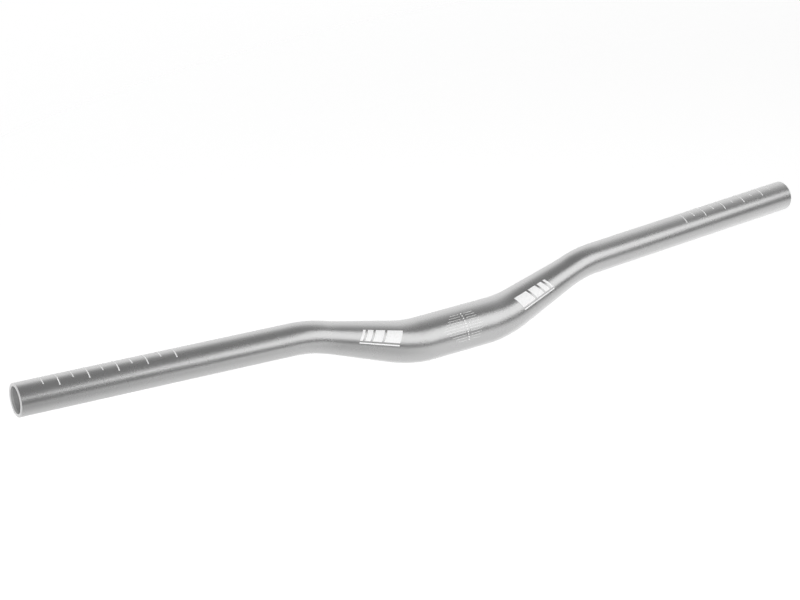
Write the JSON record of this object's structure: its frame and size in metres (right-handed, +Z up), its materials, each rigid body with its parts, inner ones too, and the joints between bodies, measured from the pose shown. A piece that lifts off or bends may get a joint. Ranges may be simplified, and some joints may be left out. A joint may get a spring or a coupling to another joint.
{
  "type": "bicycle handlebar",
  "caption": "Riser handlebar: a swaged aluminium tube, thick at the stem clamp, bent up and back to open-ended grips.",
  "frame": {"origin": "middle of the stem clamp, on the clamp's axis", "axes": "+X along the clamp to the right end of the bar as its rider sees it, +Y back to the rider, +Z up"},
  "size_m": [0.6412, 0.0464, 0.0524],
  "materials": {
    "tube": "satin"
  },
  "bodies": {
    "root": {"handlebar_tube": "tube"}
  },
  "joints": []
}
